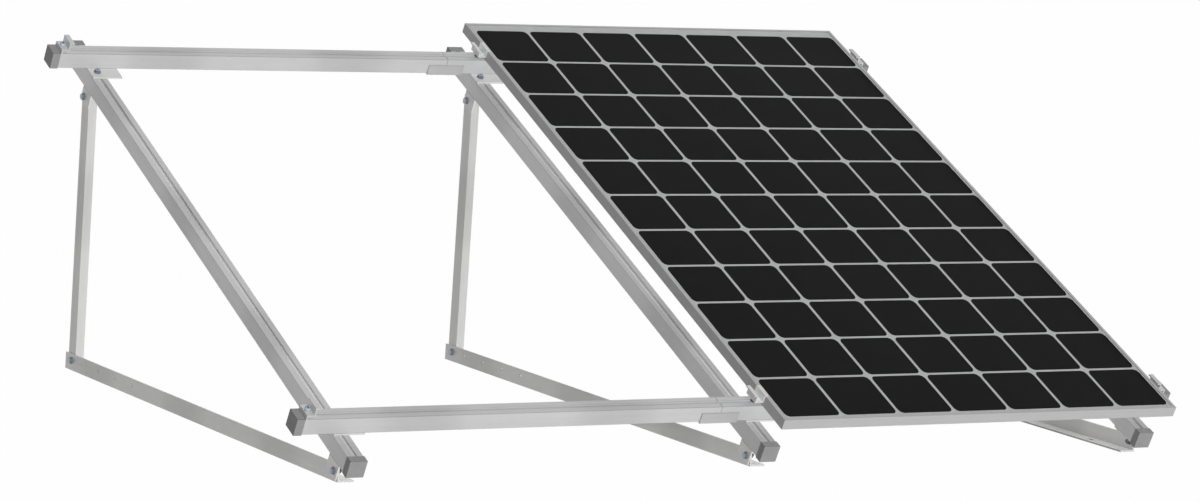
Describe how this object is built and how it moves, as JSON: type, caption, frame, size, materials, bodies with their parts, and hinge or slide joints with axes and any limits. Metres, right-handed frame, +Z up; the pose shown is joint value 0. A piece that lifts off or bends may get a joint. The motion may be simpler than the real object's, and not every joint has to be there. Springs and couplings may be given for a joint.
{
  "type": "solar panel tilt mounting frame",
  "caption": "Free-standing aluminium tilt frame for framed solar panels: triangular supports carry slotted cross rails with end and mid clamps, and a panel lies on the right half.",
  "frame": {"origin": "middle of the frame's footprint box, on the surface it stands on", "axes": "+X along the cross rails, with the panel on the +X half, +Z up, and the slope falls towards -Y"},
  "size_m": [2.36, 1.6642, 0.8616],
  "materials": {
    "bar": "satin mill finish",
    "angle": "satin mill finish",
    "plate": "satin mill finish",
    "cap": "matte",
    "zinc": "zinc plated",
    "panel_frame": "anodised",
    "glass": "clear",
    "cell": "dark silicon",
    "rear_sheet": "matte",
    "box": "matte"
  },
  "bodies": {
    "root": {"base_rail_left": "angle", "base_rail_middle": "angle", "base_rail_right": "angle", "leg_left": "angle", "leg_middle": "angle", "leg_right": "angle", "strut_left": "bar", "strut_middle": "bar", "strut_right": "bar", "front_bracket_left": "angle", "front_bracket_middle": "angle", "front_bracket_right": "angle", "top_bracket_left": "angle", "top_bracket_middle": "angle", "top_bracket_right": "angle", "leg_spacers": "zinc", "strut_cap_low_left": "cap", "strut_cap_low_middle": "cap", "strut_cap_low_right": "cap", "strut_cap_top_left": "cap", "strut_cap_top_middle": "cap", "strut_cap_top_right": "cap", "upper_rail_left": "bar", "upper_rail_right": "bar", "lower_rail_left": "bar", "lower_rail_right": "bar", "upper_rail_cap_left": "cap", "upper_rail_cap_right": "cap", "lower_rail_cap_left": "cap", "lower_rail_cap_right": "cap", "upper_plate_left": "plate", "upper_plate_middle": "plate", "upper_plate_right": "plate", "lower_plate_left": "plate", "lower_plate_middle": "plate", "lower_plate_right": "plate", "upper_splice": "plate", "lower_splice": "plate", "upper_end_clamp_left": "plate", "upper_end_clamp_right": "plate", "lower_end_clamp_left": "plate", "lower_end_clamp_right": "plate", "upper_mid_clamp": "plate", "lower_mid_clamp": "plate", "pivot_bolts": "zinc", "pivot_nuts": "zinc", "t_bolts": "zinc", "t_bolt_nuts": "zinc", "clamp_bolts": "zinc", "clamp_lock_nuts": "zinc", "clamp_t_nuts": "zinc", "panel_frame_left": "panel_frame", "panel_frame_right": "panel_frame", "panel_frame_top": "panel_frame", "panel_frame_bottom": "panel_frame", "panel_glass": "glass", "panel_cells": "cell", "panel_rear_sheet": "rear_sheet", "junction_box": "box"}
  },
  "joints": []
}
